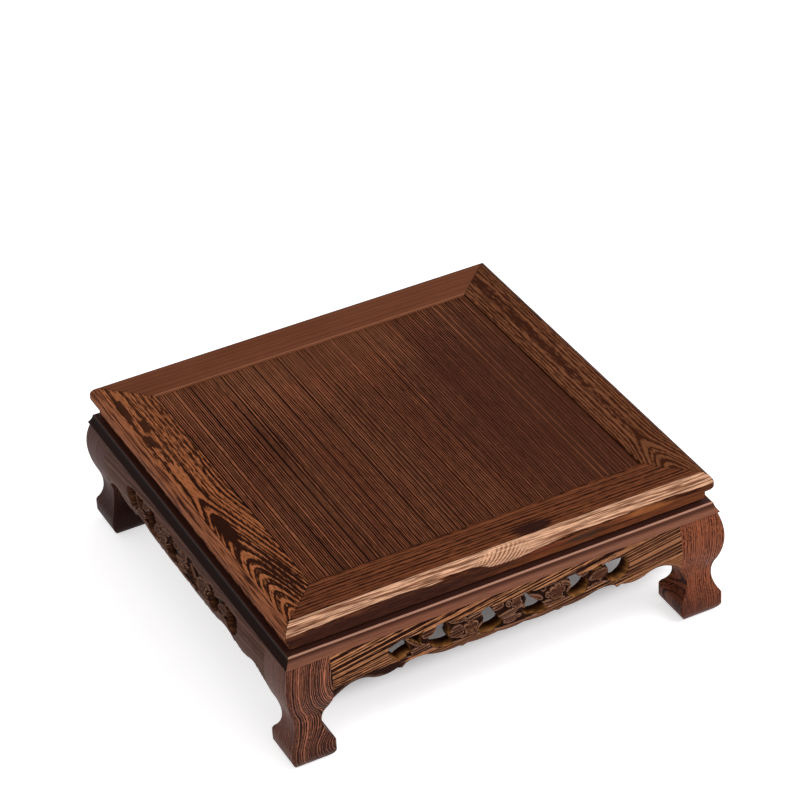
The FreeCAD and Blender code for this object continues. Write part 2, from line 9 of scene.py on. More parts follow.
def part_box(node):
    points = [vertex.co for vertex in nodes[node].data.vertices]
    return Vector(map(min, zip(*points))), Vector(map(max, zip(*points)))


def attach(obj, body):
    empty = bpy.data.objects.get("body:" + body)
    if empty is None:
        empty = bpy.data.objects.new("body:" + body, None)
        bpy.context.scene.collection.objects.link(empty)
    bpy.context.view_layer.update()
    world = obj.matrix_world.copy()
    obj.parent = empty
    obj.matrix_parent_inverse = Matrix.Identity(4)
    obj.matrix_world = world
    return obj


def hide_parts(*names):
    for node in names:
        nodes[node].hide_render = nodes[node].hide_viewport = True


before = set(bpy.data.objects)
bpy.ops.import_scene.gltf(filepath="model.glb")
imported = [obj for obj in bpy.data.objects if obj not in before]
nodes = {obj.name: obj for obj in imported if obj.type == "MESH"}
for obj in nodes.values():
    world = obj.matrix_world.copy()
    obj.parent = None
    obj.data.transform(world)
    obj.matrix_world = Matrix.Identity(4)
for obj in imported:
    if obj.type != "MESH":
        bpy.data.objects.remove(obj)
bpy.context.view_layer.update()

MM = 0.001
QUARTER_TURN = math.pi / 2
HALF_TURN = math.pi
FULL_TURN = 2 * math.pi
SIDES = ("front", "right", "back", "left")
GRAINS = {"front": "x", "right": "y", "back": "x", "left": "y"}
GRAIN_TURNS = {"x": Euler((0.0, QUARTER_TURN, 0.0)), "y": Euler((-QUARTER_TURN, 0.0, 0.0)), "z": Euler()}


# Sizes of the solids that the materials and the carved aprons follow

def box_reach(node, corner, axis):
    """How far a side of a node's box lies from the middle, or from the floor, to a tenth."""
    return round(abs(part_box(node)[corner][axis]) / MM, 1)


LOW, HIGH = 0, 1
X, Y, Z = 0, 1, 2
HALF_SIDE = box_reach("rail_front", LOW, Y)
SPAN_HALF = box_reach("leg_front_right", LOW, X)
APRON_TOP = box_reach("apron_front", HIGH, Z)
SEAM_LOW = box_reach("apron_front", LOW, Z)
APRON_BACK = HALF_SIDE - box_reach("apron_front", HIGH, Y)
MOULDING_TOP = box_reach("moulding_front", HIGH, Z)
# How far out the moulding's slope starts at its top, behind which lies a narrow ledge
MOULDING_HEAD = 149.1


# Helpers for node trees

class Tree:
    """Builds nodes in a tree, with sockets given as values, colours or other sockets."""

    def __init__(self, tree):
        self.tree = tree

    def put(self, socket, value):
        if isinstance(value, bpy.types.NodeSocket):
            self.tree.links.new(value, socket)
        elif value is not None:
            socket.default_value = value

    def node(self, kind, inputs=(), **settings):
        made = self.tree.nodes.new(kind)
        for name, value in settings.items():
            setattr(made, name, value)
        for name, value in dict(inputs).items():
            self.put(made.inputs[name], value)
        return made

    def math(self, operation, first, second=None, third=None):
        made = self.node("ShaderNodeMath", operation=operation)
        for index, value in enumerate((first, second, third)):
            self.put(made.inputs[index], value)
        return made.outputs[0]

    def vector(self, operation, first, second):
        made = self.node("ShaderNodeVectorMath", operation=operation)
        self.put(made.inputs[0], first)
        self.put(made.inputs[1], second)
        return made.outputs[0]

    def split(self, place):
        """The X, Y and Z of a place."""
        return self.node("ShaderNodeSeparateXYZ", {"Vector": place}).outputs

    def noise(self, place, scale, detail=2.0, rough=0.5):
        made = self.node("ShaderNodeTexNoise", {"Vector": place, "Scale": scale, "Detail": detail,
                                                "Roughness": rough})
        return made.outputs["Fac"]

    def line_noise(self, place, scale):
        made = self.node("ShaderNodeTexNoise", noise_dimensions="1D")
        for name, value in (("W", place), ("Scale", scale), ("Detail", 2.0), ("Roughness", 0.5)):
            self.put(made.inputs[name], value)
        return made.outputs["Fac"]

    def wave(self, angle):
        """A sine wave between nothing and one."""
        return self.math("MULTIPLY_ADD", self.math("SINE", angle), 0.5, 0.5)

    def ramp(self, value, low, high, start=0.0, end=1.0):
        """Smooth step of a value between two limits."""
        made = self.node("ShaderNodeMapRange", interpolation_type="SMOOTHSTEP")
        for name, amount in (("Value", value), ("From Min", low), ("From Max", high),
                             ("To Min", start), ("To Max", end)):
            self.put(made.inputs[name], amount)
        return made.outputs["Result"]

    def ramp_mm(self, value, low, high, start=0.0, end=1.0):
        """The same for a length, with its two limits in millimetres."""
        return self.ramp(value, low * MM, high * MM, start, end)

    def mix(self, share, first, second, blend="MIX"):
        made = self.node("ShaderNodeMix", data_type="RGBA", blend_type=blend)
        self.put(made.inputs["Factor"], share)
        self.put(made.inputs[6], first)
        self.put(made.inputs[7], second)
        return made.outputs[2]

    def tint(self, colour, by):
        return self.mix(1.0, colour, by, "MULTIPLY")

    def dim(self, colour, strength):
        """A colour made darker or lighter by a plain number."""
        grey = self.node("ShaderNodeCombineColor", {"Red": strength, "Green": strength, "Blue": strength})
        return self.tint(colour, grey.outputs[0])

    def seen(self):
        """One for what the camera sees, also in gloss and through glass, and nothing for light."""
        path = self.node("ShaderNodeLightPath").outputs
        indirect = self.math("MAXIMUM", path["Is Glossy Ray"], path["Is Transmission Ray"])
        return self.math("MAXIMUM", path["Is Camera Ray"], indirect)


def srgb(red, green, blue):
    """A colour as it is seen, from 0 to 255, turned into the renderer's own scale."""
    out = []
    for part in (red, green, blue):
        share = part / 255.0
        out.append(share / 12.92 if share <= 0.04045 else ((share + 0.055) / 1.055) ** 2.4)
    return (out[0], out[1], out[2], 1.0)


def empty_material(name):
    material = bpy.data.materials.new(name)
    material.use_nodes = True
    material.node_tree.nodes.clear()
    return material, Tree(material.node_tree)


# Figure of the wood. Each noise is given by how far it is drawn out along the grain, where less than
# one is longer, its scale in waves per metre, its detail and, where it isn't a half, its roughness.

FLECKS = (0.10, 1500.0, 1.0)
THREADS = (0.03, 2400.0, 2.0, 0.6)
TONES = (0.3, 40.0, 3.0)
CALMS = (0.3, 16.0, 1.0)
TEARS = (0.12, 260.0, 3.0)
LONG_TEARS = (0.12, 150.0, 3.0)
FINE_STREAKS = (0.03, 1400.0, 2.0)
WIDE_STREAKS = (0.05, 520.0, 3.0, 0.6)

# How the rings wander off their circles, and by how much their wave drifts
WARP_DRAW = 0.16
WARP_APART = (3.1, 1.7, 5.3)
FEATHER_DRAW = 0.09
FEATHER_SCALE = 900.0
TAPER_BLEND = 20.0
DRIFT_SCALE = 0.33
DRIFT = 2.2
FINE_RATE = 2.37
FINE_SHARE = 0.2
BROAD_SCALE = 0.41
FAR_DASH_RUN = 40.0
CALM_LEVEL = 0.45
TONE_SHARE = 0.5
SHADE_TEAR = 0.9
GRAIN_RELIEF = 0.05

# Outer edge of a rail: a strip that is partly wear and partly painted light
STREAK_LIMITS = (0.80, 1.04)
LOW_TEAR = 12.0
INNER_TEAR = 0.8
STROKE_COVER = 0.75
STROKE_LIFT = 2.6
STROKE_SLANT = -1.2
STROKE_PITCH = 3.2
STROKE_SWING = 0.15
STROKE_LEVEL = 0.94

# Colours of the painted shade on the moulding's ledge and of the carving, and how far out an opening's wall
# starts and ends
LEDGE_SHADE = (62, 34, 28)
CARVED_WOOD = (74, 44, 31)
CARVED_STAIN_AND_SHADE = (100, 80, 72)
CARVED_SHARE = 0.8
RIDGE_WEAR_AND_HIGHLIGHT = (158, 116, 94)
WALL_BACK, WALL_FRONT = 147.0, 154.0


def drawn(make, local, draw, scale, detail, rough=0.5):
    """Noise drawn out along the grain."""
    return make.noise(make.vector("MULTIPLY", local, (1.0, 1.0, draw)), scale, detail, rough)


def wander(make, local, draw, scale, reach, detail=2.0, apart=(0.0, 0.0, 0.0)):
    """A length up to the reach, either way, that changes slowly along the grain."""
    spot = make.vector("ADD", make.vector("MULTIPLY", local, (1.0, 1.0, draw)), apart)
    value = make.noise(spot, scale, detail)
    return make.math("MULTIPLY", make.math("SUBTRACT", value, 0.5), 2 * reach * MM)


def blot(make, place, centre, reach, torn=0.0):
    """One at the centre of a soft round blot and nothing beyond its reach along X, Y and Z."""
    spot = make.vector("SUBTRACT", place, [value * MM for value in centre])
    spot = make.vector("DIVIDE", spot, [value * MM for value in reach])
    far = make.node("ShaderNodeVectorMath", {"Vector": spot}, operation="LENGTH")
    return make.ramp(make.math("ADD", far.outputs["Value"], torn), 0.35, 1.0, 1.0, 0.0)


def log_place(make, place, grain, pith, tilt):
    """The place in the log's own frame, whose Z is its pith."""
    mapping = make.node("ShaderNodeMapping", {"Vector": place}, vector_type="TEXTURE")
    mapping.inputs["Location"].default_value = [value * MM for value in pith]
    lean = Euler((math.radians(tilt[0]), math.radians(tilt[1]), 0.0)).to_matrix()
    mapping.inputs["Rotation"].default_value = (GRAIN_TURNS[grain].to_matrix() @ lean).to_euler()
    return mapping.outputs["Vector"]


def light_share(make, place, local, ring=1.4, taper=0.0, phase=0.0, warp=2.0, warp_scale=14.0,
                feather=0.45, dash=1.3, far_dash=None, bias=0.5, sharp=0.12, broad=0.3, calm=0.0,
                blots=()):
    """Nothing in the dark bands of the wood and one between them.

    A band is where the level is below bias, with an edge as soft as sharp says. The level follows
    rings of one width about the pith, started at phase, with a share that is broad and uneven. Warp
    bends the rings, feather frays them, and taper draws them to points behind the pith's own place.
    Dash is the strength of the short flecks, and far_dash the strength ahead of the pith's place.
    Calm takes contrast from some stretches. Each blot is a centre, a reach and how much it darkens.
    """
    x, y, along = make.split(local)
    across = make.math("ADD", x, wander(make, local, WARP_DRAW, warp_scale, warp))
    up = make.math("ADD", y, wander(make, local, WARP_DRAW, warp_scale, warp, apart=WARP_APART))
    square = make.math("ADD", make.math("MULTIPLY", across, across), make.math("MULTIPLY", up, up))
    frayed = wander(make, local, FEATHER_DRAW, FEATHER_SCALE, feather)
    radius = make.math("ADD", make.math("SQRT", square), frayed)
    if taper:
        behind = make.math("SMOOTH_MIN", along, 0.0, TAPER_BLEND * MM)
        radius = make.math("MULTIPLY_ADD", behind, taper, radius)
    count = make.math("ADD", make.math("DIVIDE", radius, ring * MM), phase)
    drifted = make.math("MULTIPLY_ADD", make.line_noise(count, DRIFT_SCALE), DRIFT, count)
    angle = make.math("MULTIPLY", drifted, FULL_TURN)
    level = make.math("MULTIPLY", make.wave(angle), 1.0 - FINE_SHARE - broad)
    fine = make.wave(make.math("MULTIPLY", angle, FINE_RATE))
    level = make.math("MULTIPLY_ADD", fine, FINE_SHARE, level)
    level = make.math("MULTIPLY_ADD", make.line_noise(count, BROAD_SCALE), broad, level)
    if far_dash:
        dash = make.ramp_mm(along, 0.0, FAR_DASH_RUN, dash, far_dash)
    fleck = make.math("SUBTRACT", drawn(make, local, *FLECKS), 0.5)
    level = make.math("MULTIPLY_ADD", fleck, dash, level)
    for centre, extent, amount in blots:
        level = make.math("MULTIPLY_ADD", blot(make, place, centre, extent), -amount, level)
    band = make.ramp(level, bias - sharp, bias + sharp)
    if calm:
        quiet = make.ramp(drawn(make, local, *CALMS), 0.38, 0.62)
        contrast = make.math("MULTIPLY_ADD", quiet, -calm, 1.0)
        band = make.math("MULTIPLY_ADD", make.math("SUBTRACT", band, CALM_LEVEL), contrast, CALM_LEVEL)
    return band


def shaded(make, place, local, colour, shades):
    """The colour under soft patches, torn along the grain: centre, reach, plain colour and share."""
    torn = make.math("MULTIPLY", make.math("SUBTRACT", drawn(make, local, *TEARS), 0.5), SHADE_TEAR)
    for centre, extent, plain, share in shades:
        cover = make.math("MULTIPLY", blot(make, place, centre, extent, torn), share)
        colour = make.mix(cover, colour, srgb(*plain))
    return colour


def worn_and_lit_edge(make, place, local, out, colour, dark, light, low, inner, ribs=None):
    """The colour of a rail's outer edge, streaked from dark to light along the grain. On the front and
    left rails its pale strip is partly wear and partly painted light on the rounded top of the edge.

    The edge lies above the low limit and outside the inner one, and both borders are torn. Ribs are
    the centre and reach of a place where slanting strokes stand in for the streaks.
    """
    x, _, height = make.split(place)
    streaks = make.math("MULTIPLY_ADD", drawn(make, local, *FINE_STREAKS), 0.9,
                        drawn(make, local, *WIDE_STREAKS))
    if ribs:
        cover = make.math("MULTIPLY", blot(make, place, *ribs), STROKE_COVER)
        slant = make.math("MULTIPLY_ADD", height, STROKE_SLANT, x)
        slant = make.math("ADD", slant, wander(make, local, 0.4, 90.0, 2.4, detail=3.0))
        stroke = make.math("SINE", make.math("MULTIPLY", slant, FULL_TURN / (STROKE_PITCH * MM)))
        stroke = make.math("MULTIPLY_ADD", stroke, STROKE_SWING, STROKE_LEVEL)
        streaks = make.math("MULTIPLY_ADD", make.math("SUBTRACT", stroke, streaks), cover, streaks)
        height = make.math("MULTIPLY_ADD", cover, STROKE_LIFT * MM, height)
    worn_and_lit = make.mix(make.ramp(streaks, *STREAK_LIMITS), srgb(*dark), srgb(*light))
    low += LOW_TEAR / 2
    inner += INNER_TEAR / 2
    torn_height = make.math("MULTIPLY_ADD", drawn(make, local, *LONG_TEARS), LOW_TEAR * MM, height)
    torn_out = make.math("MULTIPLY_ADD", drawn(make, local, *TEARS), INNER_TEAR * MM, out)
    share = make.math("MULTIPLY", make.ramp_mm(torn_out, inner - 0.2, inner + 0.2),
                      make.ramp_mm(torn_height, low - 0.2, low + 0.4))
    return make.mix(share, colour, worn_and_lit)


def hollowed(make, height, out, colour, shadow, edge):
    """The moulding's colour, with a painted shadow up its hollow, a painted highlight along its top edge
    and painted shade on the ledge behind that.
    """
    up = make.ramp_mm(height, MOULDING_TOP - 7.2, MOULDING_TOP - 1.6)
    colour = make.mix(up, colour, make.tint(colour, srgb(*shadow)))
    at_edge = make.ramp_mm(height, MOULDING_TOP - 1.3, MOULDING_TOP - 0.8)
    colour = make.mix(at_edge, colour, srgb(*edge))
    behind = make.ramp_mm(out, MOULDING_HEAD - 0.4, MOULDING_HEAD - 0.2, 1.0, 0.0)
    return make.mix(behind, colour, srgb(*LEDGE_SHADE))


def carved_over(make, colour):
    """The colour with the plainer ground of the carving, darkened where it is sunk, partly stain and
    partly painted shade, and its ridges lightened, partly wear and partly painted highlight.
    """
    sunk, ridge, worked = (make.node("ShaderNodeAttribute", attribute_name=name).outputs["Fac"]
                           for name in ("sunk", "ridge", "worked"))
    colour = make.mix(make.math("MULTIPLY", worked, CARVED_SHARE), colour, srgb(*CARVED_WOOD))
    colour = make.mix(sunk, colour, make.tint(colour, srgb(*CARVED_STAIN_AND_SHADE)))
    return make.mix(ridge, colour, srgb(*RIDGE_WEAR_AND_HIGHLIGHT))


def wood(name, grain, pith, tilt=(0.0, 0.0), light=(150, 92, 58), dark=(48, 20, 10),
         tone=(255, 235, 215), fibre=0.3, rough=0.5, specular=0.03, bevel=0.35, mitre=False,
         shades=(), nosing=None, hollow=None, deep_shade=None, carved=False, **bands):
    """Figured wood cut from a log whose rings lie about a line through pith, along the grain.

    The line leans by the two tilts. Light and dark are the wood's two colours, tone tints wide
    stretches of it and fibre is the depth of its finest threads. Bevel rounds the sharp edges in
    the light, and a mitre darkens the diagonal joint. Shades are the patches of shaded, nosing the
    limits and colours of worn_and_lit_edge, a strip partly of wear and partly of painted light, and
    hollow the colours of hollowed, whose shadow, top edge and ledge are painted shade and highlight.
    Deep_shade is a tint of painted shade that grows toward the back of an opening's wall, carved is
    for a face with the carver's marks and the painted shade and highlight of carved_over, and bands
    are the settings of light_share.
    """
    material, make = empty_material(name)
    place = make.node("ShaderNodeTexCoord").outputs["Object"]
    local = log_place(make, place, grain, pith, tilt)
    x, y, height = make.split(place)
    aside = make.math("ABSOLUTE", x)
    ahead = make.math("ABSOLUTE", y)
    out = make.math("MAXIMUM", aside, ahead)
    band = light_share(make, place, local, **bands)
    colour = make.mix(band, srgb(*dark), srgb(*light))
    toned = make.math("MULTIPLY", make.ramp(drawn(make, local, *TONES), 0.35, 0.68), TONE_SHARE)
    colour = make.mix(toned, colour, make.tint(colour, srgb(*tone)))
    if shades:
        colour = shaded(make, place, local, colour, shades)
    if nosing:
        colour = worn_and_lit_edge(make, place, local, out, colour, **nosing)
    if hollow:
        colour = hollowed(make, height, out, colour, **hollow)
    # Painted shade that grows toward the back of an opening's wall
    if deep_shade:
        front = make.ramp_mm(out, WALL_BACK, WALL_FRONT)
        colour = make.mix(front, make.tint(colour, srgb(*deep_shade)), colour)
    thread = drawn(make, local, *THREADS)
    colour = make.dim(colour, make.ramp(thread, 0.3, 0.65, 1.0 - fibre, 1.0 + 0.3 * fibre))
    if mitre:
        gap = make.math("ABSOLUTE", make.math("SUBTRACT", aside, ahead))
        colour = make.dim(colour, make.ramp_mm(gap, 0.15, 0.45, 0.35, 1.0))
    if carved:
        colour = carved_over(make, colour)
    gloss = make.ramp(band, 0.0, 1.0, rough + 0.06, rough - 0.04)
    ripple = make.math("MULTIPLY_ADD", thread, 0.6, make.math("MULTIPLY", band, 0.4))
    bump = make.node("ShaderNodeBump", {"Height": ripple, "Strength": 0.4,
                                        "Distance": GRAIN_RELIEF * MM})
    if bevel:
        soft = make.node("ShaderNodeBevel", {"Radius": bevel * MM}, samples=4)
        make.put(bump.inputs["Normal"], soft.outputs[0])
    shader = make.node("ShaderNodeBsdfPrincipled",
                       {"Base Color": colour, "Roughness": gloss, "Normal": bump.outputs[0],
                        "Specular IOR Level": specular})
    make.node("ShaderNodeOutputMaterial", {"Surface": shader.outputs[0]})
    return material


def dress(node, grain, pith, tilt=(0.0, 0.0), **look):
    """Gives a CAD node its own wood."""
    mesh = nodes[node].data
    mesh.materials.clear()
    mesh.materials.append(wood(node + "_wood", grain, pith, tilt, **look))


# Frame rails. The left one is cut near the pith, so it shows tall flames, and the front one has a
# pale edge, partly wear and partly painted light, over a lower face that is dark partly from the
# wood and partly from painted shade.

RAIL = {"mitre": True, "specular": 0.012}
DARK_NOSING = {"dark": (50, 26, 18), "light": (88, 52, 36), "low": 97.0, "inner": 144.9}
LEFT_FLAMES = (
    ((-138.0, -40.0, 107.0), (6.0, 24.0, 20.0), 0.6),
    ((-128.0, -100.0, 107.0), (12.0, 40.0, 20.0), 0.15),
    ((-141.0, 112.0, 107.0), (3.5, 17.0, 20.0), 0.8),
    ((-140.0, 70.0, 107.0), (3.0, 9.0, 20.0), 0.8),
    ((-136.0, 88.0, 107.0), (3.0, 12.0, 20.0), 0.5),
)
# The first shade darkens the lower face left of the middle, partly the wood and partly painted shade where
# the face turns down. The second is a dark eye on the top, and the rest are patches along the right half of
# the lower face.
FRONT_SHADES = (
    ((-90.0, -149.0, 93.0), (150.0, 16.0, 14.0), (60, 33, 26), 0.95),
    ((25.0, -138.0, 107.0), (17.0, 7.0, 12.0), (50, 26, 22), 0.6),
    ((100.0, -150.0, 97.0), (26.0, 14.0, 6.0), (152, 90, 50), 0.8),
    ((28.0, -150.0, 96.0), (18.0, 14.0, 5.0), (112, 56, 38), 0.8),
    ((58.0, -150.0, 94.0), (20.0, 14.0, 6.0), (58, 42, 34), 0.8),
    ((84.0, -150.0, 93.0), (30.0, 14.0, 3.0), (46, 24, 18), 0.8),
)
dress("rail_left", "y", (-138.0, -6.0, 103.4), ring=2.7, taper=0.2, phase=0.2, warp=2.4, warp_scale=30.0,
      feather=0.3, dash=0.7, far_dash=1.3, bias=0.53, broad=0.46, light=(156, 94, 58), dark=(42, 18, 9),
      tone=(235, 215, 200), fibre=0.4, blots=LEFT_FLAMES,
      shades=(((-130.0, 92.0, 107.0), (26.0, 80.0, 20.0), (116, 68, 44), 0.16),),
      nosing={"dark": (62, 30, 20), "light": (160, 98, 66), "low": 98.0, "inner": 145.1}, **RAIL)
dress("rail_front", "x", (-20.0, -215.0, 99.0), (0.0, 0.6), ring=2.9, warp=1.6, dash=0.9, bias=0.38,
      sharp=0.16, light=(112, 62, 37), dark=(46, 20, 10), tone=(225, 225, 235), fibre=0.6,
      blots=(((25.0, -138.0, 107.0), (18.0, 8.0, 12.0), 0.6),
             ((80.0, -149.0, 95.0), (70.0, 9.0, 7.0), -0.6)),
      shades=FRONT_SHADES,
      nosing={"dark": (120, 77, 55), "light": (210, 161, 129), "low": 101.5, "inner": 143.7,
              "ribs": ((-1.0, -150.0, 100.0), (24.0, 14.0, 13.0))}, **RAIL)
dress("rail_right", "y", (131.0, -96.0, 98.0), ring=1.7, taper=0.2, warp=2.6, dash=0.8, far_dash=1.3,
      sharp=0.18, light=(116, 70, 45), dark=(58, 27, 14), tone=(232, 226, 208), fibre=0.45,
      nosing=DARK_NOSING, **RAIL)
dress("rail_back", "x", (60.0, 240.0, 70.0), (0.3, 0.4), ring=4.0, warp=2.4, dash=0.5, sharp=0.45,
      light=(109, 64, 43), dark=(99, 55, 37), tone=(225, 215, 205), fibre=0.15,
      # A pale line along the inner edge, over the step down to the panel, is painted light.
      shades=(((0.0, 117.3, 107.0), (600.0, 1.1, 9.0), (146, 94, 68), 0.6),),
      nosing=DARK_NOSING, **RAIL)


# Panel of fine straight lines, darker to the right, and the batten under it

dress("panel", "y", (-420.0, 0.0, 60.0), (0.0, 0.25), ring=1.45, warp=1.6, warp_scale=9.0, feather=0.15,
      dash=0.45, bias=0.69, sharp=0.12, broad=0.06, calm=0.2, light=(136, 82, 55), dark=(20, 6, 2),
      tone=(225, 200, 195), fibre=0.35, specular=0.012,
      blots=(((-30.0, 110.0, 107.0), (130.0, 80.0, 20.0), -0.2),),
      shades=(((90.0, -20.0, 107.0), (85.0, 170.0, 20.0), (62, 31, 20), 0.62),
              ((-20.0, 112.0, 107.0), (120.0, 40.0, 20.0), (84, 51, 34), 0.3)))
dress("batten", "x", (0.0, -60.0, 40.0), ring=2.2, sharp=0.3, light=(120, 76, 50), dark=(74, 42, 26))


# Waist strips and mouldings. The waist strips are nearly black, partly dark wood and partly painted
# shade under the overhanging top, and the left moulding is darker than the others.

# In a moulding's hollow, shadow is painted shade up the hollow, edge is a painted highlight along its top,
# and the ledge behind it is painted shade.
MOULDING_WOOD = {"light": (138, 90, 70), "dark": (112, 70, 52), "specular": 0.05,
                 "hollow": {"shadow": (150, 138, 138), "edge": (166, 122, 102)}}
LEFT_MOULDING_WOOD = {"light": (46, 29, 24), "dark": (36, 20, 17), "specular": 0.015,
                      "hollow": {"shadow": (150, 138, 138), "edge": (68, 52, 47)}}
for side in SIDES:
    dress("waist_" + side, GRAINS[side], (40.0, 90.0, 20.0), ring=2.0, sharp=0.3, light=(34, 16, 11),
          dark=(20, 9, 7), rough=0.6)
    look = LEFT_MOULDING_WOOD if side == "left" else MOULDING_WOOD
    dress("moulding_" + side, GRAINS[side], (30.0, -110.0, 0.0), (0.3, 0.2), ring=4.0, warp=1.5,
          dash=0.4, bias=0.45, sharp=0.45, fibre=0.2, rough=0.42, mitre=True, **look)


# Legs, each from its own log

LEG = {"warp_scale": 26.0, "feather": 0.25, "dash": 0.9, "sharp": 0.14, "tone": (225, 205, 205),
       "fibre": 0.4, "rough": 0.45, "specular": 0.07}
LEGS = {
    # The front left leg's foot is darker, and its left face is plain mauve, partly plainer wood and partly
    # painted sheen.
    "leg_front_left": {
        "pith": (-108.0, -192.0, 44.0), "tilt": (-5.0, 6.0), "ring": 0.72, "warp": 0.9, "dash": 0.35,
        "bias": 0.62, "sharp": 0.08, "light": (160, 98, 73), "dark": (30, 11, 6),
        "shades": (((-124.0, -150.0, 3.0), (46.0, 30.0, 30.0), (58, 32, 26), 0.55),
                   ((-152.0, -128.0, 50.0), (14.0, 26.0, 70.0), (100, 66, 58), 0.7))},
    # The front right leg's left face is painted shade, and its foot is darker.
    "leg_front_right": {
        "pith": (40.0, -150.0, 40.0), "tilt": (1.5, 2.0), "ring": 1.6, "warp": 1.8, "dash": 1.1,
        "bias": 0.38, "light": (140, 78, 51), "dark": (52, 20, 12), "fibre": 0.5,
        "shades": (((103.0, -134.0, 14.0), (15.0, 80.0, 90.0), (58, 27, 21), 1.0),
                   ((128.0, -152.0, 2.0), (36.0, 24.0, 30.0), (68, 34, 25), 0.7))},
    "leg_back_left": {
        "pith": (-60.0, 190.0, 40.0), "tilt": (2.0, 2.0), "ring": 1.6, "warp": 0.8,
        "light": (82, 51, 43), "dark": (77, 47, 40), "fibre": 0.15, "specular": 0.04,
        "shades": (((-135.0, 128.0, 6.0), (52.0, 52.0, 36.0), (44, 28, 25), 0.75),)},
    "leg_back_right": {
        "pith": (190.0, 60.0, 40.0), "tilt": (-2.0, 2.0), "ring": 1.6, "warp": 0.8,
        "light": (136, 78, 54), "dark": (76, 36, 24)},
}
for leg, look in LEGS.items():
    dress(leg, "z", **{**LEG, **look})


# Shape of the carved aprons: outline, openings and relief of the front one, which is turned four
# times. Each scallop is a share of the half span, a share of the rise and the swell up to it.

APRON_LOW = 49.0
KNEE = 38.6
SHOULDER_OUT = 1.3
BULGE = 4.15
SCALLOP_RISE = 4.6
SCALLOPS = (
    (0.073, 0.30, 0.08), (0.251, 0.28, 0.24), (0.275, 0.00, 0.00), (0.300, 0.30, 0.00),
    (0.445, 0.65, 0.22), (0.595, 0.87, -0.37), (0.617, 0.17, 0.00), (0.644, 0.48, 0.00),
    (0.785, 0.48, 0.46), (0.931, 0.50, -0.57),
)
MIDDLE_LOBE = 0.07
SEAM_SWELL = 0.1
EDGE_STEP, OPENING_STEP, SIDE_STEP = 0.5, 0.4, 1.2


def arc(start, end, swell, step):
    """Places after start up to end along an arc that swells to the left of its direction."""
    run = (end[0] - start[0], end[1] - start[1])
    chord = math.hypot(run[0], run[1])
    if abs(swell) < 1e-6:
        count = max(1, round(chord / step))
        return [(start[0] + run[0] * k / count, start[1] + run[1] * k / count) for k in range(1, count + 1)]
    radius = chord * chord / (8 * abs(swell)) + abs(swell) / 2
    sign = 1.0 if swell > 0 else -1.0
    left = (-run[1] / chord, run[0] / chord)
    reach = abs(swell) - radius
    centre = ((start[0] + end[0]) / 2 + left[0] * sign * reach,
              (start[1] + end[1]) / 2 + left[1] * sign * reach)
    first = math.atan2(start[1] - centre[1], start[0] - centre[0])
    last = math.atan2(end[1] - centre[1], end[0] - centre[0])
    sweep = last - first
    while sweep > HALF_TURN:
        sweep -= FULL_TURN
    while sweep < -HALF_TURN:
        sweep += FULL_TURN
    count = max(2, round(abs(sweep) * radius / step))
    return [(centre[0] + radius * math.cos(first + sweep * k / count),
             centre[1] + radius * math.sin(first + sweep * k / count)) for k in range(1, count + 1)]


def scalloped_edge():
    """The lower edge from the left seam to the right seam."""
    right = [(SPAN_HALF * place, APRON_LOW + SCALLOP_RISE * high, -SCALLOP_RISE * swell)
             for place, high, swell in SCALLOPS]
    right.append((SPAN_HALF, SEAM_LOW, SCALLOP_RISE * SEAM_SWELL))
    left = []
    follow = 0.0
    for x, z, swell in reversed(right):
        left.append((-x, z, follow))
        follow = swell
    corners = left + [(0.0, APRON_LOW + SCALLOP_RISE * MIDDLE_LOBE, follow)] + right
    places = [corners[0][:2]]
    for start, end in zip(corners, corners[1:]):
        places += arc(start[:2], end[:2], end[2], EDGE_STEP)
    return places


def opening_loop(corners):
    """The outline of one opening, clockwise."""
    places = []
    for index, end in enumerate(corners):
        places += arc(corners[index - 1][:2], end[:2], end[2], OPENING_STEP)
    return list(reversed(places))


def face_out(z):
    """How far the bulging face stands out from the nosing line at a height."""
    rise = APRON_TOP - KNEE
    chord = math.hypot(SHOULDER_OUT, rise)
    radius = chord * chord / (8 * BULGE) + BULGE / 2
    middle = (SHOULDER_OUT / 2, (APRON_TOP + KNEE) / 2)
    normal = (rise / chord, -SHOULDER_OUT / chord)
    centre = (middle[0] + normal[0] * (BULGE - radius), middle[1] + normal[1] * (BULGE - radius))
    return centre[0] + math.sqrt(max(0.0, radius * radius - (z - centre[1]) ** 2))


def smooth(value, low, high):
    share = min(1.0, max(0.0, (value - low) / (high - low)))
    return share * share * (3 - 2 * share)


